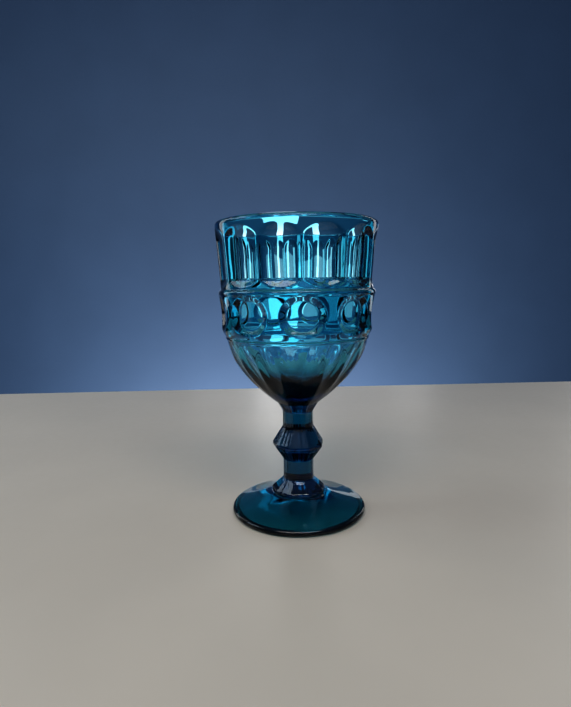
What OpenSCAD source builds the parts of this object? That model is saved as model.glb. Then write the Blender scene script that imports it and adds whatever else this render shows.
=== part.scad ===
// Water goblet in pressed coloured glass, in millimetres.
// Three glass pieces are fused face to face: a panelled bowl, a nine-sided stem and a round foot.
// +Z points up, and the origin is the centre of the ring that the foot rests on.

/* [Foot] */
// Outer radius of the foot
foot_r = 38.8; // [34:0.1:44]
// Height of the foot where the stem stands on it
foot_h = 11.5; // [10:0.1:14]
// Thickness of the foot at its rounded edge
foot_edge_t = 3.8; // [3:0.1:4.6]
// Radius of the sweep of the foot's upper face, in section
foot_sweep_r = 70; // [50:1:140]
// Width of the flat ring that the foot rests on
rest_ring_w = 3.5; // [2:0.1:6]
// Height of the hollow under the foot
foot_hollow_h = 5; // [2:0.1:6]

/* [Stem] */
// Height of the stem
stem_h = 52.5; // [46:0.5:62]
// Number of flat sides round the stem
stem_sides = 9; // [6:1:12]
// Radius of the shaft, to its corners
shaft_r = 9; // [7:0.1:11]
// Radius of the stem's plinth, to its corners
plinth_r = 15.6; // [13:0.1:18]
// Height of the upright edge of the plinth
plinth_h = 1.8; // [1:0.1:3]
// Height of the slope from the plinth up to the shaft
plinth_slope_h = 6; // [3:0.1:9]
// Radius of the knop, to its corners
knop_r = 15.1; // [12:0.1:18]
// Height of the knop's widest part above the foot
knop_h = 28.1; // [25:0.1:31]
// Height of the upright edge round the knop
knop_edge_h = 1.4; // [0.6:0.1:3]
// Height of the slope under the knop
knop_under_h = 8.4; // [6:0.1:11]
// Height of the slope on top of the knop
knop_over_h = 9.8; // [7:0.1:12]
// Radius of the capital under the bowl, to its corners
capital_r = 12.2; // [11.6:0.1:15]
// Height of the slope under the capital
capital_slope_h = 5; // [3:0.1:7]

/* [Bowl] */
// Height of the fluted cup, from the stem to the band
cup_h = 38; // [35:0.5:44]
// Radius of the cup where it meets the band
cup_r = 39.7; // [38:0.1:42]
// Height of the band round the bowl
band_h = 26.7; // [25:0.1:32]
// Height of the panelled wall, from the band to the rim
wall_h = 36.3; // [32:0.1:46]
// Outer radius of the panelled wall at the band
wall_r = 42.2; // [40:0.1:43]
// Outer radius of the rim
rim_r = 44.8; // [43:0.1:48]
// Thickness of the glass at the rim
rim_t = 4.4; // [4:0.1:5.4]
// Thickness of the glass under the cavity
base_t = 10.5; // [8:0.1:13]
// Radius of the round bottom of the cavity
cavity_r = 37.7; // [36:0.1:38.5]

/* [Cup flutes] */
// Number of flutes round the cup
flute_n = 18; // [12:1:24]
// Radius of each flute's hollow
flute_r = 18; // [14:0.5:22]
// Distance of the flutes' tips below the band
flute_tip_gap = 1.7; // [1:0.1:4]
// Radius of the curve that the flutes follow down the cup
flute_path_r = 94; // [88:1:100]
// Lean of the flutes at their tips, in degrees from upright
flute_lean = 22.4; // [21:0.1:23.5]

/* [Band] */
// Radius of the band at its lower edge
band_low_r = 42.3; // [41.5:0.1:43.5]
// Radius of the band at its upper edge
band_high_r = 43.4; // [42.5:0.1:44.5]
// Height of the slope under the band
band_slope_h = 4.6; // [3:0.1:6]
// Radius of the crest of the bead on top of the band
bead_crest_r = 43.7; // [43:0.1:45]
// Radius of that bead's own section
bead_r = 2.2; // [1.5:0.1:3]
// Radius of the crest of the fine bead under the band
fine_bead_crest_r = 40.3; // [39.5:0.1:41]
// Radius of that fine bead's own section
fine_bead_r = 0.9; // [0.6:0.1:1.4]

/* [Dishes] */
// Number of dishes round the band
dish_n = 9; // [6:1:10]
// Radius of a dish at its mouth
dish_r = 11.4; // [8:0.1:12.4]
// Depth of a dish at its centre
dish_depth = 1.6; // [0.6:0.1:2]
// Height of the dishes' centres above the foot of the band
dish_h = 13.2; // [11.5:0.1:14]
// Radius of the dishes' floor from top to bottom
dish_floor_r = 80; // [40:1:120]
// Draft of the dishes' walls in degrees
dish_draft = 30; // [10:1:45]

/* [Panels] */
// Number of panels round the wall
panel_n = 12; // [10:1:15]
// Depth of a panel along its middle
panel_depth = 2.5; // [2.2:0.1:2.8]
// Width of the ridge left between two panels
ridge_w = 1; // [0.4:0.1:2]
// Distance of the arched tops below the rim
panel_top_gap = 4.4; // [3:0.1:8]
// Height of the arched top of a panel
arch_h = 5.3; // [4:0.1:8]
// Height of the panels' lower crease above the band
crease_h = 4.6; // [3:0.1:7]
// Slope of the scoop below the crease, in degrees from upright
scoop_lean = 31; // [25:1:45]

/* [Hidden] */
$fn = 96;

glass_deep = [0.02, 0.25, 0.38];
glass_mid = [0.04, 0.40, 0.55];
glass_light = [0.10, 0.50, 0.62];

// One overrun serves every cut.
over = 2;

// Heights above the table
stem_z = foot_h;
bowl_z = stem_z + stem_h;

// Foot
foot_edge_r = foot_edge_t / 2;
foot_flat_r = foot_r - foot_edge_r;
hollow_mouth_r = foot_flat_r - rest_ring_w;
hollow_r = (hollow_mouth_r ^ 2 + foot_hollow_h ^ 2) / (2 * foot_hollow_h);

// Bowl, in heights above its joint with the stem
band_z = cup_h;
band_slope_z = band_z + band_slope_h;
dish_z = band_z + dish_h;
wall_z = band_z + band_h;
bowl_h = wall_z + wall_h;
bead_z = wall_z - bead_r;
lip_r = rim_t / 2;
lip_z = bowl_h - lip_r;
mouth_r = rim_r - rim_t;
wall_lean = atan2(rim_r - wall_r, lip_z - wall_z);

// Cup: a shoulder arc above, and a flatter flank arc below that carries on from it
shoulder_r = 45.5;
flank_r = 106;
shoulder_lean = 10.2;
flank_lean = 41.1;
shoulder_mid = [cup_r - shoulder_r * cos(shoulder_lean), band_z + shoulder_r * sin(shoulder_lean)];
flank_mid = shoulder_mid - (flank_r - shoulder_r) * [cos(flank_lean), -sin(flank_lean)];
flank_z = shoulder_mid.y - shoulder_r * sin(flank_lean);

// Cavity: a round bottom with straight sides that leave it as a tangent
cavity_z = base_t + cavity_r;
cavity_turn = atan2(mouth_r, lip_z - cavity_z) + acos(cavity_r / norm([mouth_r, lip_z - cavity_z]));
cavity_side = [cavity_r * sin(cavity_turn), cavity_z + cavity_r * cos(cavity_turn)];

// Cup flutes: a round hollow swept along an arc that leaves the cup's surface at the flutes' tips
flute_tip_z = band_z - flute_tip_gap;
flute_tip_r = shoulder_mid.x + sqrt(shoulder_r ^ 2 - (shoulder_mid.y - flute_tip_z) ^ 2);
flute_mid = [flute_tip_r - flute_path_r * cos(flute_lean), flute_tip_z + flute_path_r * sin(flute_lean)];
flute_sweep = 26;
flute_lead = 0.6;

// Dishes, square to the band's slope
dish_field_r = band_low_r + (band_high_r - band_low_r) * (dish_z - band_slope_z) / (bead_z - band_slope_z);
dish_tilt = atan2(band_high_r - band_low_r, bead_z - band_slope_z);
dish_sag = dish_field_r - sqrt(dish_field_r ^ 2 - dish_r ^ 2);
dish_reach = dish_depth + dish_sag;

// Panels: a wide round hollow, closed at each end by part of a sphere
panel_foot_z = wall_z + crease_h;
panel_foot_r = wall_r + crease_h * tan(wall_lean);
panel_l = (bowl_h - panel_top_gap - arch_h - panel_foot_z) / cos(wall_lean);
panel_mid_r = (wall_r + rim_r) / 2;
panel_half_w = panel_mid_r * sin(180 / panel_n) - ridge_w / 2;
panel_rise = panel_mid_r - sqrt(panel_mid_r ^ 2 - panel_half_w ^ 2);
panel_sink = panel_depth - panel_rise;
panel_r = (panel_half_w ^ 2 + panel_sink ^ 2) / (2 * panel_sink);
arch_back = (panel_depth * (2 * panel_r - panel_depth) - arch_h ^ 2) / (2 * arch_h);
arch_r = norm([panel_r, arch_back]);
scoop_back = panel_r * tan(scoop_lean);
scoop_r = panel_r / cos(scoop_lean);

// Places copies round the Z axis, with the first one towards -Y.
module ring_of(count, phase = 0) {
    for (i = [0 : count - 1])
        rotate([0, 0, -90 + phase + i * 360 / count])
            children();
}

// Section of the fluted cup, from the joint up to the band
module cup_section() {
    intersection() {
        translate(shoulder_mid)
            circle(r = shoulder_r);
        translate([0, flank_z])
            square([cup_r, band_z - flank_z]);
    }
    intersection() {
        translate(flank_mid)
            circle(r = flank_r, $fn = 2 * $fn);
        square([cup_r, flank_z]);
    }
}

// Section of the band with the fine bead at its foot, laid on a core that joins the cup to the wall
module band_section() {
    polygon([
        [0, band_z],
        [cup_r, band_z],
        [wall_r, wall_z],
        [0, wall_z]
    ]);
    polygon([
        [0, band_z],
        [cup_r, band_z],
        [band_low_r, band_slope_z],
        [band_high_r, bead_z],
        [wall_r, wall_z],
        [0, wall_z]
    ]);
    translate([fine_bead_crest_r - fine_bead_r, band_z])
        circle(r = fine_bead_r);
}

// Section of the bead on top of the band, with a web behind it that joins it to the wall
module bead_section() {
    translate([bead_crest_r - bead_r, bead_z])
        circle(r = bead_r);
    translate([0, bead_z - bead_r / 2])
        square([bead_crest_r - bead_r, bead_r]);
}

// Section of the panelled wall below the lip
module wall_section() {
    polygon([
        [0, wall_z],
        [wall_r, wall_z],
        [rim_r, lip_z],
        [0, lip_z]
    ]);
}

// Section of the space inside the bowl
module cavity_section() {
    translate([0, cavity_z])
        circle(r = cavity_r);
    polygon([
        [0, cavity_z],
        cavity_side,
        [mouth_r, lip_z],
        [mouth_r, bowl_h + over],
        [0, bowl_h + over]
    ]);
}

// The bowl as turned, before its ornament is cut
module bowl_blank() {
    rotate_extrude() {
        difference() {
            union() {
                cup_section();
                band_section();
                wall_section();
            }
            union() {
                cavity_section();
                mirror([1, 0])
                    square([flank_r, bowl_h + over]);
            }
        }
        translate([rim_r - lip_r, lip_z])
            circle(r = lip_r);
    }
}

// The bead as a ring round the bowl
module bead_ring() {
    rotate_extrude()
        difference() {
            bead_section();
            cavity_section();
        }
}

// One flute of the cup, towards +X
module flute_cut() {
    translate([flute_mid.x, 0, flute_mid.y])
        rotate([90, 0, 0])
            rotate([0, 0, flute_lead - flute_lean - flute_sweep])
                rotate_extrude(angle = flute_sweep, $fn = 2 * $fn)
                    translate([flute_path_r + flute_r, 0])
                        circle(r = flute_r);
}

// Cuts the second child from the first, count times round the Z axis and each in its own turn
module cut_in_turn(count, step, phase = 0) {
    if (count == 0)
        children(0);
    else
        difference() {
            cut_in_turn(count - 1, step, phase) {
                children(0);
                children(1);
            }
            rotate([0, 0, -90 + phase + (count - 1) * step])
                children(1);
        }
}

// All dishes: a round groove along the band, kept only inside the dishes' drafted walls
module dish_cuts() {
    intersection() {
        rotate_extrude()
            translate([dish_field_r, dish_z])
                rotate([0, 0, -dish_tilt])
                    translate([dish_floor_r - dish_depth, 0])
                        circle(r = dish_floor_r);
        ring_of(dish_n)
            translate([dish_field_r, 0, dish_z])
                rotate([0, 90 + dish_tilt, 0])
                    translate([0, 0, -dish_reach])
                        cylinder(
                            h = dish_reach + over,
                            r1 = dish_r - dish_reach * tan(dish_draft),
                            r2 = dish_r + over * tan(dish_draft)
                        );
    }
}

// One panel of the wall, towards +X, with its arched top and its scooped foot
module panel_cut() {
    translate([panel_foot_r, 0, panel_foot_z])
        rotate([0, wall_lean, 0])
            translate([panel_r - panel_depth, 0, 0])
                rotate_extrude($fn = 2 * $fn)
                    intersection() {
                        translate([0, -wall_h])
                            square([panel_r, 3 * wall_h]);
                        translate([0, panel_l - arch_back])
                            circle(r = arch_r);
                        translate([0, scoop_back])
                            circle(r = scoop_r);
                    }
}

// Moulded bowl: arched panels round the wall, dishes round the band and flutes round the cup
module bowl() {
    color(glass_light)
        translate([0, 0, bowl_z]) {
            difference() {
                cut_in_turn(flute_n, 360 / flute_n, 180 / flute_n) {
                    bowl_blank();
                    flute_cut();
                }
                ring_of(panel_n, 180 / panel_n)
                    panel_cut();
                dish_cuts();
            }
            bead_ring();
        }
}

// Flat-sided stem with a plinth, a knop and a capital, one flat towards -Y
module stem() {
    color(glass_deep)
        translate([0, 0, stem_z])
            rotate([0, 0, -90 - 180 / stem_sides])
                rotate_extrude($fn = stem_sides)
                    polygon([
                        [0, 0],
                        [plinth_r, 0],
                        [plinth_r, plinth_h],
                        [shaft_r, plinth_h + plinth_slope_h],
                        [shaft_r, knop_h - knop_edge_h / 2 - knop_under_h],
                        [knop_r, knop_h - knop_edge_h / 2],
                        [knop_r, knop_h + knop_edge_h / 2],
                        [shaft_r, knop_h + knop_edge_h / 2 + knop_over_h],
                        [shaft_r, stem_h - capital_slope_h],
                        [capital_r, stem_h],
                        [0, stem_h]
                    ]);
}

// Round foot with a swept upper face, a rounded edge and a hollow underside
module foot() {
    edge = [foot_flat_r, foot_edge_t];
    landing = [plinth_r, foot_h];
    chord = landing - edge;
    across = [chord.y, -chord.x] / norm(chord);
    sweep_mid = (edge + landing) / 2 + across * sqrt(foot_sweep_r ^ 2 - (norm(chord) / 2) ^ 2);
    color(glass_mid)
        rotate_extrude() {
            difference() {
                square([foot_flat_r, foot_h]);
                translate(sweep_mid)
                    circle(r = foot_sweep_r, $fn = 2 * $fn);
                translate([0, foot_hollow_h - hollow_r])
                    circle(r = hollow_r, $fn = 2 * $fn);
            }
            translate([foot_flat_r, foot_edge_r])
                circle(r = foot_edge_r);
        }
}

bowl();
stem();
foot();
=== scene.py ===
"""Looks of a pressed water goblet in deep blue-green glass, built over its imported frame.

The goblet is three glass pieces, fused face to face: a moulded bowl, a nine-sided stem
and a round foot. Each has a class that holds its sizes in millimetres, works out its
surface as a function of two parameters and puts it into one closed mesh, in metres.
"""

import logging
import math
from collections.abc import Callable
from dataclasses import dataclass

import bpy
import numpy as np
from mathutils import Matrix, Vector


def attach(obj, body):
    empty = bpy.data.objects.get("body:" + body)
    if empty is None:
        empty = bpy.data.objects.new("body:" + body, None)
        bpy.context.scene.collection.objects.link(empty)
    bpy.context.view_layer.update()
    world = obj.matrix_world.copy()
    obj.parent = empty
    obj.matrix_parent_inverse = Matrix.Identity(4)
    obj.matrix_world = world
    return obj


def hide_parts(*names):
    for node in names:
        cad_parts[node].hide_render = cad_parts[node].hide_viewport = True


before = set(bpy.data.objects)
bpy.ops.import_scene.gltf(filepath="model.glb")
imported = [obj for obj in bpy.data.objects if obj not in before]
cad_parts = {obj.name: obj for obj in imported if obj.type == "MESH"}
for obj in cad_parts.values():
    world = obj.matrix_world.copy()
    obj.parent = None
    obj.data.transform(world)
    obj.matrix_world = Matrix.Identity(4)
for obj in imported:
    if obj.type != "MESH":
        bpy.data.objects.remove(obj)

MM = 0.001  # metres in a millimetre
BODY = "root"  # nothing on the goblet moves, so every piece rides on the one body
HAIRLINE = 0.01  # gap between two fused faces, in millimetres
CORNER = 0.05  # width of the narrow ring of faces that keeps a joint's corner crisp
LEAST_STEEP = 0.05  # slowest wave of an uneven surface, in radians for a millimetre of height
FRONT = -math.pi / 2  # direction of -Y, which a ridge, a dish and a flat of the stem face

Gap = Callable[[np.ndarray, np.ndarray], np.ndarray]  # distance to a cut, from points and turns

log = logging.getLogger("goblet")


# Helpers in numpy


def smooth_max(a: np.ndarray, b: np.ndarray, width: float) -> np.ndarray:
    """Larger of two values, with the corner between them rounded.

    Formula: b + (a - b) h + width h (1 - h), where h runs from 0 to 1 as a - b goes
    from -width to width.

    Args:
        a: First values.
        b: Second values, of a shape that goes with a's.
        width: Span of a - b over which the two are blended.

    Returns:
        The blended larger value at each place.
    """
    h = np.clip(0.5 + 0.5 * (a - b) / width, 0.0, 1.0)
    return b + (a - b) * h + width * h * (1.0 - h)


def smooth_min(a: np.ndarray, b: np.ndarray, width: float) -> np.ndarray:
    """Smaller of two values, with the corner between them rounded.

    Formula: minus the rounded larger of -a and -b.

    Args:
        a: First values.
        b: Second values, of a shape that goes with a's.
        width: Span of a - b over which the two are blended.

    Returns:
        The blended smaller value at each place.
    """
    return -smooth_max(-a, -b, width)


def arc(
    mid: tuple[float, float], radius: float, start: float, end: float, count: int
) -> np.ndarray:
    """Points along a circular arc in section.

    Formula: mid + radius (cos a, sin a), for a from start to end.

    Args:
        mid: Centre, as radius and height.
        radius: Radius of the arc.
        start: First angle in degrees from the outward direction.
        end: Last angle in degrees.
        count: Number of points.

    Returns:
        Points as rows of radius and height.
    """
    a = np.radians(np.linspace(start, end, count))
    return np.stack([mid[0] + radius * np.cos(a), mid[1] + radius * np.sin(a)], axis=1)


def travelled(line: np.ndarray) -> np.ndarray:
    """Distance travelled along a line of points.

    Formula: the running sum of the lengths from each point to the next.

    Args:
        line: Points as rows of radius and height.

    Returns:
        One distance for each point, from zero.
    """
    steps = np.hypot(*np.diff(line, axis=0).T)
    return np.concatenate([[0.0], np.cumsum(steps)])


def polished(line: np.ndarray, spread: float, step: float = 0.02) -> np.ndarray:
    """Rounds every corner of a section, as the flame rounds pressed glass.

    Formula: each point is the mean of the points near it along the line, weighted by
    exp(-d^2 / (2 spread^2)) for distance d. Both ends stay where they are.

    Args:
        line: Points as rows of radius and height.
        spread: Reach of the rounding.
        step: Spacing of the points that come back.

    Returns:
        The rounded line with evenly spaced points.
    """
    run = travelled(line)
    even = np.linspace(0.0, run[-1], int(run[-1] / step) + 1)
    dense = np.stack([np.interp(even, run, line[:, k]) for k in (0, 1)], axis=1)
    reach = int(4 * spread / step)
    kernel = np.exp(-0.5 * (np.arange(-reach, reach + 1) * step / spread) ** 2)
    kernel /= kernel.sum()
    ends = [2 * dense[0] - dense[reach:0:-1], dense, 2 * dense[-1] - dense[-2:-reach - 2:-1]]
    padded = np.concatenate(ends)
    return np.stack([np.convolve(padded[:, k], kernel, "valid") for k in (0, 1)], axis=1)


def spaced(line: np.ndarray, stops: list[tuple[float, int]]) -> np.ndarray:
    """Picks points along a line, evenly spaced within each stretch of it.

    Args:
        line: Dense points as rows of radius and height.
        stops: For each stretch, the distance at which it ends and its count of points.

    Returns:
        The points picked, from the line's start to the last stop.
    """
    places, start = [np.zeros(1)], 0.0
    for end, count in stops:
        places.append(np.linspace(start, end, count + 1)[1:])
        start = end
    run = travelled(line)
    at = np.concatenate(places)
    return np.stack([np.interp(at, run, line[:, k]) for k in (0, 1)], axis=1)


def section_normals(line: np.ndarray) -> np.ndarray:
    """Unit normals of a section, to the right of the way in which it is travelled.

    Formula: the tangent (dr, dz), turned to (dz, -dr).

    Args:
        line: Points as rows of radius and height.

    Returns:
        The normals, as rows of their outward and upward shares.
    """
    tangent = np.gradient(line, axis=0)
    tangent /= np.hypot(tangent[:, 0], tangent[:, 1])[:, None]
    return np.stack([tangent[:, 1], -tangent[:, 0]], axis=1)


def folded(turn: np.ndarray, count: int, first: float) -> np.ndarray:
    """Angle from the nearest of some equal places round a circle.

    Formula: the remainder of turn - first over one pitch, centred on zero.

    Args:
        turn: Angles in radians.
        count: Number of places.
        first: Angle of one of the places.

    Returns:
        Angles from half a pitch below zero to half a pitch above it.
    """
    pitch = 2 * math.pi / count
    return (turn - first + pitch / 2) % pitch - pitch / 2


def full_turn(count: int) -> np.ndarray:
    """Angles of a grid's columns, evenly spaced once round the axis from the front.

    Formula: FRONT + 2 pi i / count, for i from 0 to count - 1.

    Args:
        count: Number of columns.

    Returns:
        The angles in radians.
    """
    return FRONT + np.arange(count) * 2 * math.pi / count


def waviness(
    turn: np.ndarray,
    height: np.ndarray,
    seed: int,
    rounds: tuple[int, int] = (2, 9),
    steep: float = 0.35,
) -> np.ndarray:
    """Slow unevenness of a fire-polished glass surface, mostly from -2 to 2.

    Formula: a sum of six waves cos(m turn + k height + phase) over the square root of
    three, with whole numbers m, so that it closes round the circle.

    Args:
        turn: Angle round the axis in radians.
        height: Height or distance along the section in millimetres.
        seed: Start of the fixed random series that sets m, k and the phases.
        rounds: Least m, and the number that m stays below.
        steep: Largest k in radians for a millimetre.

    Returns:
        The unevenness at each place.
    """
    series = np.random.default_rng(seed)
    total = np.zeros(np.broadcast(turn, height).shape)
    for _ in range(6):
        waves = int(series.integers(*rounds))
        rate = series.uniform(LEAST_STEEP, steep)
        phase = series.uniform(0.0, 2 * math.pi)
        total += np.cos(waves * turn + rate * height + phase)
    return total / math.sqrt(3.0)


# Meshes


def turned_points(section: np.ndarray, turn: np.ndarray) -> np.ndarray:
    """Carries radii and heights round the axis.

    Formula: (r cos t, r sin t, z) for each ring's r and z, and each angle t.

    Args:
        section: Radii and heights, shaped rings by 2, or rings by turns by 2.
        turn: Angles in radians.

    Returns:
        Points shaped rings by turns by 3.
    """
    if section.ndim == 2:
        section = np.repeat(section[:, None, :], len(turn), axis=1)
    r, z = section[..., 0], section[..., 1]
    return np.stack([r * np.cos(turn), r * np.sin(turn), z], axis=2)


def drawn_in(ring: np.ndarray) -> np.ndarray:
    """Smaller copy of a ring, at the same height, for the flat face of a joint.

    Formula: each point moves towards the axis by CORNER.

    Args:
        ring: Points in millimetres, shaped turns by 3.

    Returns:
        The new points, shaped 1 by turns by 3.
    """
    inner = ring.copy()
    inner[:, :2] *= (1.0 - CORNER / np.hypot(ring[:, 0], ring[:, 1]))[:, None]
    return inner[None]


def closed_skin(name: str, rings: np.ndarray, low: float, high: float) -> bpy.types.Object:
    """Makes one closed, smooth object from rings of points and a pole at each end.

    The faces are quads between ring i and i + 1, and triangles to both poles, wound so
    that they point outwards when the rings run from the underside, up and over.

    Args:
        name: Name of the object.
        rings: Points in millimetres, shaped rings by turns by 3.
        low: Height of the pole before the first ring.
        high: Height of the pole after the last ring.

    Returns:
        The new object, at the origin, with its place in its mesh.
    """
    count, turns, _ = rings.shape
    poles = np.array([[0.0, 0.0, low], [0.0, 0.0, high]])
    points = np.concatenate([rings.reshape(-1, 3), poles]) * MM
    j = np.arange(turns)
    k = (j + 1) % turns
    base = np.arange(count - 1)[:, None] * turns
    quads = np.stack([base + j, base + k, base + turns + k, base + turns + j], axis=2)
    first = np.stack([np.full(turns, count * turns), k, j], axis=1)
    top = (count - 1) * turns
    last = np.stack([top + j, top + k, np.full(turns, count * turns + 1)], axis=1)
    corners = np.concatenate([quads.ravel(), first.ravel(), last.ravel()])
    sizes = np.concatenate([np.full((count - 1) * turns, 4), np.full(2 * turns, 3)])
    mesh = bpy.data.meshes.new(name)
    mesh.vertices.add(len(points))
    mesh.vertices.foreach_set("co", points.astype(np.float32).ravel())
    mesh.loops.add(len(corners))
    mesh.loops.foreach_set("vertex_index", corners.astype(np.int32))
    mesh.polygons.add(len(sizes))
    starts = np.concatenate([[0], np.cumsum(sizes)[:-1]])
    mesh.polygons.foreach_set("loop_start", starts.astype(np.int32))
    mesh.polygons.foreach_set("use_smooth", np.ones(len(sizes), dtype=bool))
    mesh.update(calc_edges=True)
    mesh.validate()
    piece = bpy.data.objects.new(name, mesh)
    bpy.context.scene.collection.objects.link(piece)
    return piece


# Finishes


FLOAT_SOCKET, VECTOR_SOCKET = "NodeSocketFloat", "NodeSocketVector"
CLOUD_SCALE = 160.0  # size of the patches in which a surface is duller
RUB_SCALE = 1400.0  # size of the scratches where a surface rubs


def moulded_surface() -> bpy.types.NodeTree:
    """Shader group for a surface that is slightly wavy, finely grained and a little dull.

    The height is a slow noise plus a fine one, each with its own size and share. The
    roughness runs from Polish to Haze with a third noise, and up to Wear where the
    surface is lower than Wear Height, which is where it rubs on a table.

    Returns:
        The group, with the outputs Height and Roughness.
    """
    group = bpy.data.node_groups.new("moulded_surface", "ShaderNodeTree")
    for label, start in (
        ("Wave Scale", 90.0), ("Wave Height", 1.0), ("Grain Scale", 900.0), ("Grain Height", 0.08),
        ("Polish", 0.0), ("Haze", 0.02), ("Wear", 0.35), ("Wear Height", 0.0004),
    ):
        socket = group.interface.new_socket(label, in_out="INPUT", socket_type=FLOAT_SOCKET)
        socket.default_value = start
    group.interface.new_socket("Vector", in_out="INPUT", socket_type=VECTOR_SOCKET)
    for label in ("Height", "Roughness"):
        group.interface.new_socket(label, in_out="OUTPUT", socket_type=FLOAT_SOCKET)
    way_in = group.nodes.new("NodeGroupInput")
    way_out = group.nodes.new("NodeGroupOutput")

    def noise(scale: bpy.types.NodeSocket | float, detail: float) -> bpy.types.NodeSocket:
        """Adds a noise over the group's Vector.

        Args:
            scale: Its scale, or the socket that gives it.
            detail: Its finer layers.

        Returns:
            The noise, from 0 to 1.
        """
        node = group.nodes.new("ShaderNodeTexNoise")
        node.inputs["Detail"].default_value = detail
        group.links.new(way_in.outputs["Vector"], node.inputs["Vector"])
        if isinstance(scale, float):
            node.inputs["Scale"].default_value = scale
        else:
            group.links.new(scale, node.inputs["Scale"])
        return node.outputs["Fac"]

    def maths(operation: str, *terms: bpy.types.NodeSocket | float) -> bpy.types.NodeSocket:
        """Adds a sum, product or other operation on sockets and plain numbers.

        Args:
            operation: Name of the operation.
            terms: What it works on, in order.

        Returns:
            Its result.
        """
        node = group.nodes.new("ShaderNodeMath")
        node.operation = operation
        for socket, term in zip(node.inputs, terms):
            if isinstance(term, float):
                socket.default_value = term
            else:
                group.links.new(term, socket)
        return node.outputs[0]

    given = way_in.outputs
    wave = maths("MULTIPLY", noise(given["Wave Scale"], 1.0), given["Wave Height"])
    grain = maths("MULTIPLY", noise(given["Grain Scale"], 2.0), given["Grain Height"])
    group.links.new(maths("ADD", wave, grain), way_out.inputs["Height"])
    dullness = group.nodes.new("ShaderNodeMapRange")
    dullness.inputs["From Min"].default_value = 0.35
    dullness.inputs["From Max"].default_value = 0.75
    group.links.new(noise(CLOUD_SCALE, 4.0), dullness.inputs["Value"])
    group.links.new(given["Polish"], dullness.inputs["To Min"])
    group.links.new(given["Haze"], dullness.inputs["To Max"])
    place = group.nodes.new("ShaderNodeSeparateXYZ")
    group.links.new(given["Vector"], place.inputs[0])
    low = maths("LESS_THAN", place.outputs["Z"], given["Wear Height"])
    rubbed = maths("MULTIPLY", low, noise(RUB_SCALE, 6.0))
    worn = maths("MULTIPLY", rubbed, given["Wear"])
    group.links.new(maths("ADD", dullness.outputs[0], worn), way_out.inputs["Roughness"])
    return group


def on_surface(
    tree: bpy.types.NodeTree, group: bpy.types.NodeTree, values: dict[str, float], bump: float
) -> None:
    """Places the surface group in a material and ties it to its Principled shader.

    Args:
        tree: The material's nodes.
        group: The surface group.
        values: The group's inputs by name, for this material.
        bump: Height in metres that a height of one stands for.
    """
    shader = tree.nodes["Principled BSDF"]
    surface = tree.nodes.new("ShaderNodeGroup")
    surface.node_tree = group
    for label, value in values.items():
        surface.inputs[label].default_value = value
    place = tree.nodes.new("ShaderNodeTexCoord")
    tree.links.new(place.outputs["Object"], surface.inputs["Vector"])
    relief = tree.nodes.new("ShaderNodeBump")
    relief.inputs["Distance"].default_value = bump
    tree.links.new(surface.outputs["Height"], relief.inputs["Height"])
    tree.links.new(relief.outputs["Normal"], shader.inputs["Normal"])
    tree.links.new(surface.outputs["Roughness"], shader.inputs["Roughness"])


@dataclass(frozen=True)
class GlassFinish:
    """Deep blue-green pressed glass: clear at its surface, and coloured by its depth."""

    name: str = "deep_glass"
    tint: tuple[float, float, float] = (0.06, 0.705, 0.805)
    depth: float = 400.0
    ior: float = 1.52
    bump: float = 0.00006
    wave_scale: float = 120.0
    grain_scale: float = 700.0
    grain_height: float = 0.05
    haze: float = 0.02
    wear: float = 0.25

    def material(self, group: bpy.types.NodeTree) -> bpy.types.Material:
        """Builds the glass.

        Args:
            group: The surface group.

        Returns:
            A material with a transmitting surface and absorption in its volume.
        """
        made = bpy.data.materials.new(self.name)
        made.use_nodes = True
        tree = made.node_tree
        shader = tree.nodes["Principled BSDF"]
        output = tree.nodes["Material Output"]
        shader.inputs["Base Color"].default_value = (1.0, 1.0, 1.0, 1.0)
        shader.inputs["Transmission Weight"].default_value = 1.0
        shader.inputs["IOR"].default_value = self.ior
        on_surface(tree, group, {
            "Wave Scale": self.wave_scale, "Grain Scale": self.grain_scale,
            "Grain Height": self.grain_height, "Haze": self.haze, "Wear": self.wear,
        }, self.bump)
        inside = tree.nodes.new("ShaderNodeVolumeAbsorption")
        inside.inputs["Color"].default_value = (*self.tint, 1.0)
        inside.inputs["Density"].default_value = self.depth
        tree.links.new(inside.outputs["Volume"], output.inputs["Volume"])
        return made


@dataclass(frozen=True)
class MattFinish:
    """Plain matt finish for the table and the backdrop, faintly mottled."""

    name: str
    tone: tuple[float, float, float]
    mottle: float = 0.03
    mottle_scale: float = 9.0
    wave_scale: float = 30.0
    grain_scale: float = 1500.0
    grain_height: float = 0.5
    bump: float = 0.000004
    polish: float = 0.5
    haze: float = 0.62

    def material(self, group: bpy.types.NodeTree) -> bpy.types.Material:
        """Builds the finish.

        Args:
            group: The surface group.

        Returns:
            A material whose colour varies a little to both sides of its tone.
        """
        made = bpy.data.materials.new(self.name)
        made.use_nodes = True
        tree = made.node_tree
        shader = tree.nodes["Principled BSDF"]
        on_surface(tree, group, {
            "Wave Scale": self.wave_scale, "Grain Scale": self.grain_scale,
            "Grain Height": self.grain_height, "Polish": self.polish,
            "Haze": self.haze, "Wear": 0.0,
        }, self.bump)
        place = tree.nodes.new("ShaderNodeTexCoord")
        cloud = tree.nodes.new("ShaderNodeTexNoise")
        cloud.inputs["Scale"].default_value = self.mottle_scale
        cloud.inputs["Detail"].default_value = 5.0
        shades = tree.nodes.new("ShaderNodeValToRGB")
        low, high = shades.color_ramp.elements
        low.position, high.position = 0.3, 0.7
        low.color = (*(c * (1.0 - self.mottle) for c in self.tone), 1.0)
        high.color = (*(c * (1.0 + self.mottle) for c in self.tone), 1.0)
        tree.links.new(place.outputs["Object"], cloud.inputs["Vector"])
        tree.links.new(cloud.outputs["Fac"], shades.inputs["Fac"])
        tree.links.new(shades.outputs["Color"], shader.inputs["Base Color"])
        return made


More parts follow.
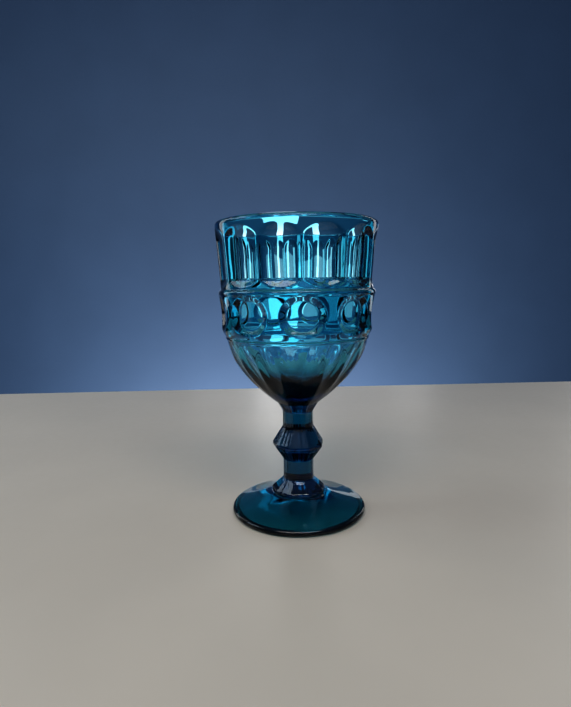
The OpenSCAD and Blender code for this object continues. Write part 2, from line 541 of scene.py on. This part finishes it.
def dressed(piece: bpy.types.Object, finish: bpy.types.Material, node: str) -> bpy.types.Object:
    """Gives a piece its glass and sets it in the frame in place of its CAD node.

    Args:
        piece: The new piece.
        finish: Its material.
        node: Name of the CAD node that it stands for.

    Returns:
        The same piece.
    """
    piece.data.materials.append(finish)
    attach(piece, BODY)
    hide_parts(node)
    return piece


# The bowl


@dataclass
class Bowl:
    """Moulded bowl: a fluted cup, a band of dishes and an arcaded wall, in millimetres."""

    joint_z: float = 64.0
    # cup, of two arcs
    cup_h: float = 38.0
    cup_r: float = 39.7
    shoulder_r: float = 45.5
    flank_r: float = 106.0
    shoulder_lean: float = 10.2
    flank_lean: float = 41.1
    # band and its two beads
    band_h: float = 26.7
    band_low_r: float = 42.3
    band_high_r: float = 43.4
    band_slope_h: float = 4.6
    bead_crest_r: float = 43.7
    bead_r: float = 2.2
    fine_bead_crest_r: float = 40.3
    fine_bead_r: float = 0.9
    # wall and lip
    wall_h: float = 36.3
    wall_r: float = 42.2
    rim_r: float = 44.8
    rim_t: float = 4.4
    # cavity
    base_t: float = 8.8
    cavity_r: float = 37.7
    # flutes
    flute_n: int = 18
    flute_r: float = 18.0
    flute_tip_gap: float = 1.7
    flute_path_r: float = 94.0
    flute_tip_lean: float = 22.4
    # dishes
    dish_n: int = 9
    dish_w: float = 11.9
    dish_tall: float = 10.9
    dish_h: float = 13.2
    dish_depth: float = 2.2
    dish_bevel: float = 3.2
    dish_mid_share: float = 1.08
    dish_sag_share: float = 0.16
    dish_floor_polish: float = 0.2
    dish_edge_polish: float = 0.1
    # panels
    panel_n: int = 12
    panel_depth: float = 2.5
    ridge_w: float = 1.0
    panel_top_gap: float = 4.4
    arch_h: float = 5.3
    crease_h: float = 4.6
    scoop_lean: float = 31.0
    panel_polish: float = 0.5
    # rounding where two cuts meet, on the ridges that they leave, and of the outline
    meet_polish: float = 0.3
    ridge_polish: float = 0.35
    polish: float = 0.22
    # unevenness outside and inside, which starts over even_h above the joint
    uneven_out: float = 0.02
    uneven_in: float = 0.05
    even_h: float = 4.0
    turns: int = 540

    @property
    def band_z(self) -> float:
        """Height of the band's foot."""
        return self.joint_z + self.cup_h

    @property
    def wall_z(self) -> float:
        """Height of the wall's foot."""
        return self.band_z + self.band_h

    @property
    def bead_z(self) -> float:
        """Height of the middle of the bead on top of the band."""
        return self.wall_z - self.bead_r

    @property
    def lip_z(self) -> float:
        """Height of the middle of the rounded lip."""
        return self.wall_z + self.wall_h - self.rim_t / 2

    @property
    def mouth_r(self) -> float:
        """Radius of the mouth."""
        return self.rim_r - self.rim_t

    def shoulder_mid(self) -> tuple[float, float]:
        """Centre of the cup's upper arc.

        Returns:
            Its radius and height.
        """
        lean = math.radians(self.shoulder_lean)
        return (
            self.cup_r - self.shoulder_r * math.cos(lean),
            self.band_z + self.shoulder_r * math.sin(lean),
        )

    def flank_mid(self) -> tuple[float, float]:
        """Centre of the cup's lower arc, which carries on from the upper one.

        Returns:
            Its radius and height.
        """
        r, z = self.shoulder_mid()
        lean = math.radians(self.flank_lean)
        back = self.flank_r - self.shoulder_r
        return r - back * math.cos(lean), z + back * math.sin(lean)

    def outside(self) -> np.ndarray:
        """Outline of the bowl before its ornament, from the joint to the lip's crown.

        Formula: at each height, the largest radius of the cup's two arcs, both beads,
        the band and the wall. The lip's half circle follows.

        Returns:
            Points as rows of radius and height.
        """
        flank, shoulder = self.flank_mid(), self.shoulder_mid()
        start = math.degrees(math.asin((self.joint_z - flank[1]) / self.flank_r))
        cup = np.concatenate([
            arc(flank, self.flank_r, start, -self.flank_lean, 1200),
            arc(shoulder, self.shoulder_r, -self.flank_lean, -self.shoulder_lean, 1200)[1:],
        ])
        z = np.linspace(self.joint_z, self.lip_z, 9000)
        r = np.interp(z, cup[:, 1], cup[:, 0], right=0.0)
        band = np.array([
            [self.cup_r, self.band_z],
            [self.band_low_r, self.band_z + self.band_slope_h],
            [self.band_high_r, self.bead_z],
            [self.wall_r, self.wall_z],
            [self.rim_r, self.lip_z],
        ])
        r = np.maximum(r, np.interp(z, band[:, 1], band[:, 0], left=0.0))
        for crest, radius, middle in (
            (self.bead_crest_r, self.bead_r, self.bead_z),
            (self.fine_bead_crest_r, self.fine_bead_r, self.band_z),
        ):
            half = np.sqrt(np.clip(radius ** 2 - (z - middle) ** 2, 0.0, None))
            r = np.maximum(r, np.where(half > 0.0, crest - radius + half, 0.0))
        lip_r = self.rim_t / 2
        lip = arc((self.rim_r - lip_r, self.lip_z), lip_r, 0.0, 180.0, 600)[1:]
        return np.concatenate([np.stack([r, z], axis=1), lip])

    def inside(self) -> np.ndarray:
        """Outline of the cavity, from the lip down to the middle of its floor.

        Formula: a straight side, tangent to a sphere of cavity_r, and that sphere.

        Returns:
            Points as rows of radius and height.
        """
        middle = self.joint_z + self.base_t + self.cavity_r
        up = self.lip_z - middle
        far = math.hypot(self.mouth_r, up)
        turn = math.atan2(self.mouth_r, up) + math.acos(self.cavity_r / far)
        start = 90.0 - math.degrees(turn)
        floor = arc((0.0, middle), self.cavity_r, start, -90.0, 1500)
        side = np.linspace((self.mouth_r, self.lip_z), floor[0], 400)
        return np.concatenate([side, floor[1:]])

    def panel_gap(self, points: np.ndarray, turn: np.ndarray) -> np.ndarray:
        """Distance of points from the wall's panels, below zero inside a panel's cut.

        Formula: a panel is what a wide cylinder along the wall, a sphere that ends it
        in an arch and a sphere that ends it in a scoop have in common. The distance is
        the rounded largest of the three.

        Args:
            points: Radii and heights, shaped rings by turns by 2.
            turn: Angle from a panel's middle in radians.

        Returns:
            The signed distances.
        """
        lean = math.atan2(self.rim_r - self.wall_r, self.lip_z - self.wall_z)
        foot_z = self.wall_z + self.crease_h
        foot_r = self.wall_r + self.crease_h * math.tan(lean)
        top_z = self.lip_z + self.rim_t / 2
        length = (top_z - self.panel_top_gap - self.arch_h - foot_z) / math.cos(lean)
        mid_r = (self.wall_r + self.rim_r) / 2
        half_w = mid_r * math.sin(math.pi / self.panel_n) - self.ridge_w / 2
        sink = self.panel_depth - (mid_r - math.sqrt(mid_r ** 2 - half_w ** 2))
        radius = (half_w ** 2 + sink ** 2) / (2 * sink)
        axis_x = radius - self.panel_depth
        half_chord_squared = self.panel_depth * (2 * radius - self.panel_depth)
        arch_back = (half_chord_squared - self.arch_h ** 2) / (2 * self.arch_h)
        scoop_back = radius * math.tan(math.radians(self.scoop_lean))
        scoop_r = radius / math.cos(math.radians(self.scoop_lean))
        x = points[..., 0] * np.cos(turn) - foot_r
        y = points[..., 0] * np.sin(turn)
        z = points[..., 1] - foot_z
        across = x * math.cos(lean) - z * math.sin(lean) - axis_x
        along = x * math.sin(lean) + z * math.cos(lean)
        out = np.hypot(across, y)
        body = out - radius
        arch = np.hypot(out, along - length + arch_back) - math.hypot(radius, arch_back)
        scoop = np.hypot(out, along - scoop_back) - scoop_r
        return smooth_max(smooth_max(body, arch, self.panel_polish), scoop, self.panel_polish)

    def flute_gap(self, points: np.ndarray, turn: np.ndarray) -> np.ndarray:
        """Distance of points from the cup's flutes, below zero inside a flute's cut.

        Formula: a flute is a torus whose tube has flute_r, and whose nearest side
        follows an arc of flute_path_r down the cup.

        Args:
            points: Radii and heights, shaped rings by turns by 2.
            turn: Angle from a flute's middle in radians.

        Returns:
            The signed distances.
        """
        shoulder = self.shoulder_mid()
        tip_z = self.band_z - self.flute_tip_gap
        tip_r = shoulder[0] + math.sqrt(self.shoulder_r ** 2 - (shoulder[1] - tip_z) ** 2)
        lean = math.radians(self.flute_tip_lean)
        mid_x = tip_r - self.flute_path_r * math.cos(lean)
        mid_z = tip_z + self.flute_path_r * math.sin(lean)
        x = points[..., 0] * np.cos(turn) - mid_x
        y = points[..., 0] * np.sin(turn)
        ring = np.hypot(x, points[..., 1] - mid_z) - self.flute_path_r - self.flute_r
        return np.hypot(ring, y) - self.flute_r

    def cut_depth(
        self, line: np.ndarray, normals: np.ndarray, turn: np.ndarray, gap: Gap, count: int
    ) -> np.ndarray:
        """How deep a ring of equal cuts goes below the outline, along its normals.

        Formula: the smallest depth t at which the rounded larger of -t and minus the
        distance to the cuts is zero, found by halving the span from zero to deepest.

        Args:
            line: The outline, as rows of radius and height.
            normals: Its outward unit normals.
            turn: Angles of the grid in radians.
            gap: Gives the distance of points from one cut, from the points and their turns.
            count: Number of cuts round the axis, with a ridge towards -Y.

        Returns:
            Depths shaped rings by turns.
        """
        pitch = 2 * math.pi / count
        near = folded(turn, count, FRONT + pitch / 2)
        deepest, halvings = 4.0, 22
        low = np.zeros((len(line), len(turn)))
        high = np.full_like(low, deepest)
        for _ in range(halvings):
            depth = (low + high) / 2
            at = line[:, None, :] - depth[..., None] * normals[:, None, :]
            beside = near - np.sign(near) * pitch
            cut = smooth_max(-gap(at, near), -gap(at, beside), self.meet_polish)
            open_air = smooth_max(-depth, cut, self.ridge_polish) > 0.0
            low, high = np.where(open_air, depth, low), np.where(open_air, high, depth)
        return (low + high) / 2

    def dish_cut(self, line: np.ndarray, turn: np.ndarray) -> np.ndarray:
        """Depth of the round dishes below the band, along its normals.

        Formula: with e the distance from a dish's middle as a share of its half width
        or half height, the depth is the smaller of a bevel that rises to the edge at
        e = 1 and a floor that is slightly hollow, and never less than zero.

        Args:
            line: The outline, as rows of radius and height.
            turn: Angles of the grid in radians.

        Returns:
            Depths shaped rings by turns.
        """
        across = line[:, :1] * folded(turn, self.dish_n, FRONT)
        up = line[:, 1:] - (self.band_z + self.dish_h)
        e = np.hypot(across / self.dish_w, up / self.dish_tall)
        edge = (1.0 - e) * (self.dish_w + self.dish_tall) / 2
        bevel = edge * self.dish_depth / self.dish_bevel
        floor = self.dish_depth * (self.dish_mid_share - self.dish_sag_share * e ** 2)
        dish = smooth_min(bevel, floor, self.dish_floor_polish)
        return smooth_max(dish, np.zeros_like(e), self.dish_edge_polish)

    def rings(self) -> np.ndarray:
        """Rings of points from the joint, up the outside, over the lip and down inside.

        Formula: each point of the outline moves along its normal by the depth of the
        flute, dish or panel there, and by a slow unevenness that fades at the joint.

        Returns:
            Points in millimetres, shaped rings by turns by 3.
        """
        turn = full_turn(self.turns)
        whole = polished(np.concatenate([self.outside(), self.inside()[1:]]), self.polish)
        run = travelled(whole)
        crown = int(np.argmax(whole[:, 1]))
        outer_z = whole[:crown, 1]

        def at(height: float) -> float:
            """Distance along the outside at a height."""
            return float(np.interp(height, outer_z, run[:crown]))

        # where each stretch of the grid ends, and its number of rings
        lip_end = float(run[crown]) + 1.9 * self.rim_t
        stops = [
            (CORNER, 1), (at(self.joint_z + 22.0), 15), (at(self.band_z - 8.0), 10),
            (at(self.band_z - 1.1), 15), (at(self.band_z + 1.0), 7),
            (at(self.band_z + self.band_slope_h + 0.6), 9), (at(self.bead_z - 1.6), 35),
            (at(self.wall_z + 0.2), 12), (at(self.wall_z + 7.0), 14),
            (at(self.lip_z - 9.5), 6), (at(self.lip_z - 0.4), 17),
            (lip_end, 13), (float(run[-1]) - 1.0, 25),
        ]
        line = spaced(whole, stops)
        normals = np.stack([
            np.interp(travelled(line), run, section_normals(whole)[:, k]) for k in (0, 1)
        ], axis=1)
        height = line[:, 1]
        outer = np.arange(len(line)) <= int(np.argmax(height))
        depth = np.zeros((len(line), self.turns))
        # each ornament is worked out only between the heights that it can reach
        for zone, gap, count in (
            (outer & (height < self.band_z - 1.0), self.flute_gap, self.flute_n),
            (outer & (height > self.wall_z - 0.2), self.panel_gap, self.panel_n),
        ):
            depth[zone] = self.cut_depth(line[zone], normals[zone], turn, gap, count)
        zone = outer & (height > self.band_z + 0.8) & (height < self.bead_z - 1.0)
        depth[zone] = self.dish_cut(line[zone], turn)
        uneven = np.where(outer, self.uneven_out, self.uneven_in)[:, None]
        uneven = uneven * waviness(turn[None, :], travelled(line)[:, None], seed=7)
        fade = np.clip((height - self.joint_z) / self.even_h, 0.0, 1.0)[:, None]
        moved = line[:, None, :] - (depth + uneven * fade)[..., None] * normals[:, None, :]
        return turned_points(moved, turn)

    def build(self, finish: bpy.types.Material, gap: float) -> bpy.types.Object:
        """Makes the bowl and sets it in the frame.

        Args:
            finish: Its glass.
            gap: Hairline between the fused faces.

        Returns:
            The finished piece.
        """
        rings = self.rings()
        low = self.joint_z + gap
        rings[0, :, 2] = low
        rings = np.concatenate([drawn_in(rings[0]), rings])
        piece = closed_skin("bowl_glass", rings, low, self.joint_z + self.base_t)
        return dressed(piece, finish, "bowl")


# The stem


@dataclass
class Stem:
    """Nine-sided stem with a plinth, a knop and a capital, in millimetres."""

    foot_z: float = 11.5
    stem_h: float = 52.5
    sides: int = 9
    shaft_r: float = 9.0
    plinth_r: float = 15.6
    plinth_h: float = 1.8
    plinth_slope_h: float = 6.0
    knop_r: float = 15.1
    knop_h: float = 28.1
    knop_edge_h: float = 1.4
    knop_under_h: float = 8.4
    knop_over_h: float = 9.8
    capital_r: float = 12.2
    capital_slope_h: float = 5.0
    polish: float = 0.3
    corner_polish: float = 0.02
    mellow: float = 0.7
    mellow_reach: float = 1.6
    uneven: float = 0.015
    drawn: float = 0.045
    shrink: float = 0.08
    turns: int = 360

    def outline(self) -> np.ndarray:
        """Outline to the stem's corners, from the foot up to the bowl.

        Returns:
            Points as rows of radius and height.
        """
        half = self.knop_edge_h / 2
        return np.array([
            [self.plinth_r, 0.0],
            [self.plinth_r, self.plinth_h],
            [self.shaft_r, self.plinth_h + self.plinth_slope_h],
            [self.shaft_r, self.knop_h - half - self.knop_under_h],
            [self.knop_r, self.knop_h - half],
            [self.knop_r, self.knop_h + half],
            [self.shaft_r, self.knop_h + half + self.knop_over_h],
            [self.shaft_r, self.stem_h - self.capital_slope_h],
            [self.capital_r, self.stem_h],
        ]) + np.array([0.0, self.foot_z])

    def rings(self) -> np.ndarray:
        """Rings of points up the stem's flat sides.

        Formula: the outline's radius times a share, which is cos(pi / sides) over the
        rounded largest cosine of the angle to a side's middle. On the slim shaft the
        share goes mellow of the way to that of a round bar. Slow waves and fine upright
        lines, as left by the mould, are added, and shrink makes room for them.

        Returns:
            Points in millimetres, shaped rings by turns by 3.
        """
        turn = full_turn(self.turns)
        whole = polished(self.outline(), self.polish)
        length = float(travelled(whole)[-1])
        line = spaced(whole, [(CORNER, 1), (length - CORNER, 150), (length, 1)])
        pitch = 2 * math.pi / self.sides
        near = folded(turn, self.sides, FRONT)
        side = smooth_max(np.cos(near), np.cos(np.abs(near) - pitch), self.corner_polish)
        share = (math.cos(pitch / 2) / side)[None, :]
        slim = np.clip((self.shaft_r - line[:, :1]) / self.mellow_reach + 1.0, 0.0, 1.0)
        share = share + (math.cos(pitch / 4) - share) * self.mellow * slim
        waves = waviness(turn[None, :], line[:, 1:], seed=11)
        lines = waviness(turn[None, :], line[:, 1:], seed=29, rounds=(10, 34), steep=0.06)
        radius = line[:, :1] * share - self.shrink + self.uneven * waves + self.drawn * lines
        height = np.repeat(line[:, 1:], self.turns, axis=1)
        return turned_points(np.stack([radius, height], axis=2), turn)

    def build(self, finish: bpy.types.Material, gap: float) -> bpy.types.Object:
        """Makes the stem and sets it in the frame.

        Args:
            finish: Its glass.
            gap: Hairline between the fused faces.

        Returns:
            The finished piece.
        """
        rings = self.rings()
        low, high = self.foot_z + gap, self.foot_z + self.stem_h - gap
        rings[..., 2] = np.clip(rings[..., 2], low, high)
        rings = np.concatenate([drawn_in(rings[0]), rings, drawn_in(rings[-1])])
        piece = closed_skin("stem_glass", rings, low, high)
        return dressed(piece, finish, "stem")


# The foot


@dataclass
class Foot:
    """Round foot with a swept top and a hollow underside, in millimetres."""

    foot_r: float = 38.8
    foot_h: float = 11.5
    edge_t: float = 3.8
    sweep_r: float = 130.0
    landing_r: float = 15.6
    rest_ring_w: float = 3.5
    hollow_h: float = 7.0
    hollow_tip_r: float = 7.0
    polish: float = 0.3
    uneven: float = 0.04
    shrink: float = 0.076
    turns: int = 360

    def outline(self) -> np.ndarray:
        """Outline from the middle of the hollow, round the edge and up the sweep.

        Formula: a cone rounded at its tip, whose height falls with the square root of
        r^2 + hollow_tip_r^2, then a flat ring, a half circle and a hollow arc of
        sweep_r through the edge's top and the stem's landing.

        Returns:
            Points as rows of radius and height.
        """
        edge_r = self.edge_t / 2
        flat_r = self.foot_r - edge_r
        mouth_r = flat_r - self.rest_ring_w
        r = np.linspace(0.0, mouth_r, 400)
        fall = np.hypot(r, self.hollow_tip_r) - self.hollow_tip_r
        hollow = np.stack([r, self.hollow_h * (1.0 - fall / fall[-1])], axis=1)
        round_edge = arc((flat_r, edge_r), edge_r, -90.0, 90.0, 300)
        edge = np.array([flat_r, self.edge_t])
        landing = np.array([self.landing_r, self.foot_h])
        chord = landing - edge
        long = float(np.hypot(*chord))
        across = np.array([chord[1], -chord[0]]) / long
        mid = (edge + landing) / 2 + across * math.sqrt(self.sweep_r ** 2 - (long / 2) ** 2)
        a = [math.degrees(math.atan2(p[1] - mid[1], p[0] - mid[0])) % 360 for p in (edge, landing)]
        sweep = arc((mid[0], mid[1]), self.sweep_r, a[0], a[1], 400)
        return np.concatenate([hollow, round_edge, sweep[1:]])

    def rings(self) -> np.ndarray:
        """Rings of points from the hollow, round the edge and up the sweep.

        Formula: each point of the outline moves along its normal by a slow unevenness
        less shrink, except on the resting ring and at the joint.

        Returns:
            Points in millimetres, shaped rings by turns by 3.
        """
        turn = full_turn(self.turns)
        whole = polished(self.outline(), self.polish)[1:]
        length = float(travelled(whole)[-1])
        # where each stretch of the grid ends, and its number of rings
        line = spaced(whole, [(33.0, 26), (45.0, 34), (length - CORNER, 40), (length, 1)])
        waves = waviness(turn[None, :], travelled(line)[:, None], seed=23)
        moved_by = self.uneven * waves - self.shrink
        rest_h, joint_h = 0.02, 0.3
        moved_by[(line[:, 1] < rest_h) | (line[:, 1] > self.foot_h - joint_h)] = 0.0
        normals = section_normals(line)
        moved = line[:, None, :] + moved_by[..., None] * normals[:, None, :]
        return turned_points(moved, turn)

    def build(self, finish: bpy.types.Material, gap: float) -> bpy.types.Object:
        """Makes the foot and sets it in the frame.

        Args:
            finish: Its glass.
            gap: Hairline between the fused faces.

        Returns:
            The finished piece.
        """
        rings = self.rings()
        high = self.foot_h - gap
        rings[..., 2] = np.clip(rings[..., 2], 0.0, high)
        rings = np.concatenate([rings, drawn_in(rings[-1])])
        piece = closed_skin("foot_glass", rings, self.hollow_h, high)
        return dressed(piece, finish, "foot")


# The studio


@dataclass(frozen=True)
class Softbox:
    """A soft rectangular lamp."""

    name: str
    place: tuple[float, float, float]
    aim: tuple[float, float, float]
    width: float
    height: float
    power: float
    colour: tuple[float, float, float] = (1.0, 1.0, 1.0)

    def build(self) -> bpy.types.Object:
        """Makes the lamp and turns it to what it lights.

        Returns:
            The lamp.
        """
        data = bpy.data.lights.new(self.name, "AREA")
        data.shape = "RECTANGLE"
        data.size, data.size_y = self.width, self.height
        data.energy = self.power
        data.color = self.colour
        lamp = bpy.data.objects.new(self.name, data)
        bpy.context.scene.collection.objects.link(lamp)
        lamp.location = self.place
        way = Vector(self.aim) - Vector(self.place)
        lamp.rotation_euler = way.to_track_quat("-Z", "Y").to_euler()
        return lamp


@dataclass(frozen=True)
class Studio:
    """Pale table, plain backdrop, soft lamps and the camera."""

    eye: tuple[float, float, float] = (-0.0204, -0.2912, 0.1307)
    pitch: float = 7.54
    heading: float = 2.68
    roll: float = -0.75
    lens: float = 26.28
    bounces: int = 32
    glossy_bounces: int = 12

    def surface(
        self, corners: list[tuple[float, float, float]], finish: MattFinish, group: bpy.types.NodeTree
    ) -> bpy.types.Object:
        """Makes one flat stage surface.

        Args:
            corners: Its four corners in metres.
            finish: Its finish, whose name it takes.
            group: The surface group.

        Returns:
            The surface.
        """
        mesh = bpy.data.meshes.new(finish.name)
        mesh.from_pydata(corners, [], [(0, 1, 2, 3)])
        mesh.update()
        thing = bpy.data.objects.new(finish.name, mesh)
        bpy.context.scene.collection.objects.link(thing)
        mesh.materials.append(finish.material(group))
        return thing

    def build_camera(self) -> bpy.types.Object:
        """Sets the camera where the photograph was taken from.

        Returns:
            The camera.
        """
        data = bpy.data.cameras.new("photo_camera")
        data.lens = self.lens
        data.sensor_width = 36.0
        data.sensor_fit = "AUTO"
        data.clip_start = 0.01
        eye = bpy.data.objects.new("photo_camera", data)
        bpy.context.scene.collection.objects.link(eye)
        heading, pitch = math.radians(self.heading), math.radians(self.pitch)
        forward = Vector((
            math.sin(heading) * math.cos(pitch),
            math.cos(heading) * math.cos(pitch),
            -math.sin(pitch),
        ))
        turn = forward.to_track_quat("-Z", "Y").to_matrix().to_4x4()
        spin = Matrix.Rotation(math.radians(self.roll), 4, "Z")
        eye.matrix_world = Matrix.Translation(Vector(self.eye)) @ turn @ spin
        bpy.context.scene.camera = eye
        return eye

    def build_air(self) -> bpy.types.World:
        """Sets the dim surroundings: darkest below, and palest overhead.

        Returns:
            The world.
        """
        world = bpy.data.worlds.new("studio_air")
        world.use_nodes = True
        tree = world.node_tree
        place = tree.nodes.new("ShaderNodeTexCoord")
        split = tree.nodes.new("ShaderNodeSeparateXYZ")
        shades = tree.nodes.new("ShaderNodeValToRGB")
        low, high = shades.color_ramp.elements
        low.position, low.color = 0.45, (0.010, 0.013, 0.018, 1.0)
        high.position, high.color = 1.0, (0.18, 0.26, 0.38, 1.0)
        middle = shades.color_ramp.elements.new(0.55)
        middle.color = (0.05, 0.065, 0.09, 1.0)
        lift = tree.nodes.new("ShaderNodeMapRange")
        lift.inputs["From Min"].default_value = -1.0
        tree.links.new(place.outputs["Generated"], split.inputs[0])
        tree.links.new(split.outputs["Z"], lift.inputs["Value"])
        tree.links.new(lift.outputs[0], shades.inputs["Fac"])
        tree.links.new(shades.outputs["Color"], tree.nodes["Background"].inputs["Color"])
        bpy.context.scene.world = world
        return world

    def build(self, group: bpy.types.NodeTree) -> None:
        """Makes the table, the backdrop, the lamps and the camera.

        Args:
            group: The surface group.
        """
        self.surface(
            [(-0.9, -0.16, 0.0), (0.9, -0.16, 0.0), (0.9, 0.36, 0.0), (-0.9, 0.36, 0.0)],
            MattFinish("table", (0.66, 0.555, 0.435), polish=0.36, haze=0.42), group,
        )
        self.surface(
            [(-0.95, 1.1, -1.0), (0.95, 1.1, -1.0), (0.95, 1.1, 2.0), (-0.95, 1.1, 2.0)],
            MattFinish("backdrop", (0.095, 0.155, 0.26)), group,
        )
        skylight = (0.72, 0.87, 1.0)
        # name, place, aim, width, height and watts
        for box in (
            Softbox("overhead", (-0.05, -0.70, 1.15), (-0.05, -0.40, 0.0), 1.3, 0.36, 5.8),
            Softbox("side_left", (-1.00, 0.10, 0.80), (0.0, 0.10, 0.0), 0.50, 0.6, 2.2, skylight),
            Softbox("backdrop_wash", (0.0, 0.65, -0.55), (0.0, 1.10, 0.30), 0.8, 0.3, 7.5),
            Softbox("strip_back", (0.020, 1.0, 0.52), (0.020, 0.0, 0.52), 0.10, 0.96, 0.40),
            Softbox("strip_left", (-0.85, 0.62, 0.45), (0.0, 0.0, 0.15), 0.28, 0.9, 0.95),
            Softbox("strip_right", (0.80, 0.75, 0.45), (0.0, 0.0, 0.15), 0.24, 0.9, 0.6),
            Softbox("low_right", (0.36, 1.0, 0.20), (0.0, 0.0, 0.05), 0.10, 0.16, 0.04),
            Softbox("low_back", (0.05, 1.02, 0.13), (0.05, 0.0, 0.13), 0.50, 0.20, 0.12),
            Softbox("front_fill", (0.0, -1.15, 1.10), (0.0, 0.0, 0.08), 1.0, 0.5, 0.5),
        ):
            box.build()
        self.build_air()
        self.build_camera()
        colours = bpy.context.scene.view_settings
        colours.view_transform, colours.look = "Standard", "High Contrast"
        light = bpy.context.scene.cycles
        light.max_bounces = self.bounces
        light.transmission_bounces = self.bounces
        light.glossy_bounces = self.glossy_bounces
        light.transparent_max_bounces = self.bounces


def main() -> None:
    """Builds the goblet and its studio in order, and reports each piece."""
    logging.basicConfig(level=logging.INFO, format="%(name)s: %(message)s")
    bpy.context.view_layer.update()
    group = moulded_surface()
    finish = GlassFinish().material(group)
    for part in (Foot(), Stem(), Bowl()):
        piece = part.build(finish, HAIRLINE)
        log.info("%s: %d faces", piece.name, len(piece.data.polygons))
    Studio().build(group)


if __name__ == "__main__":
    main()
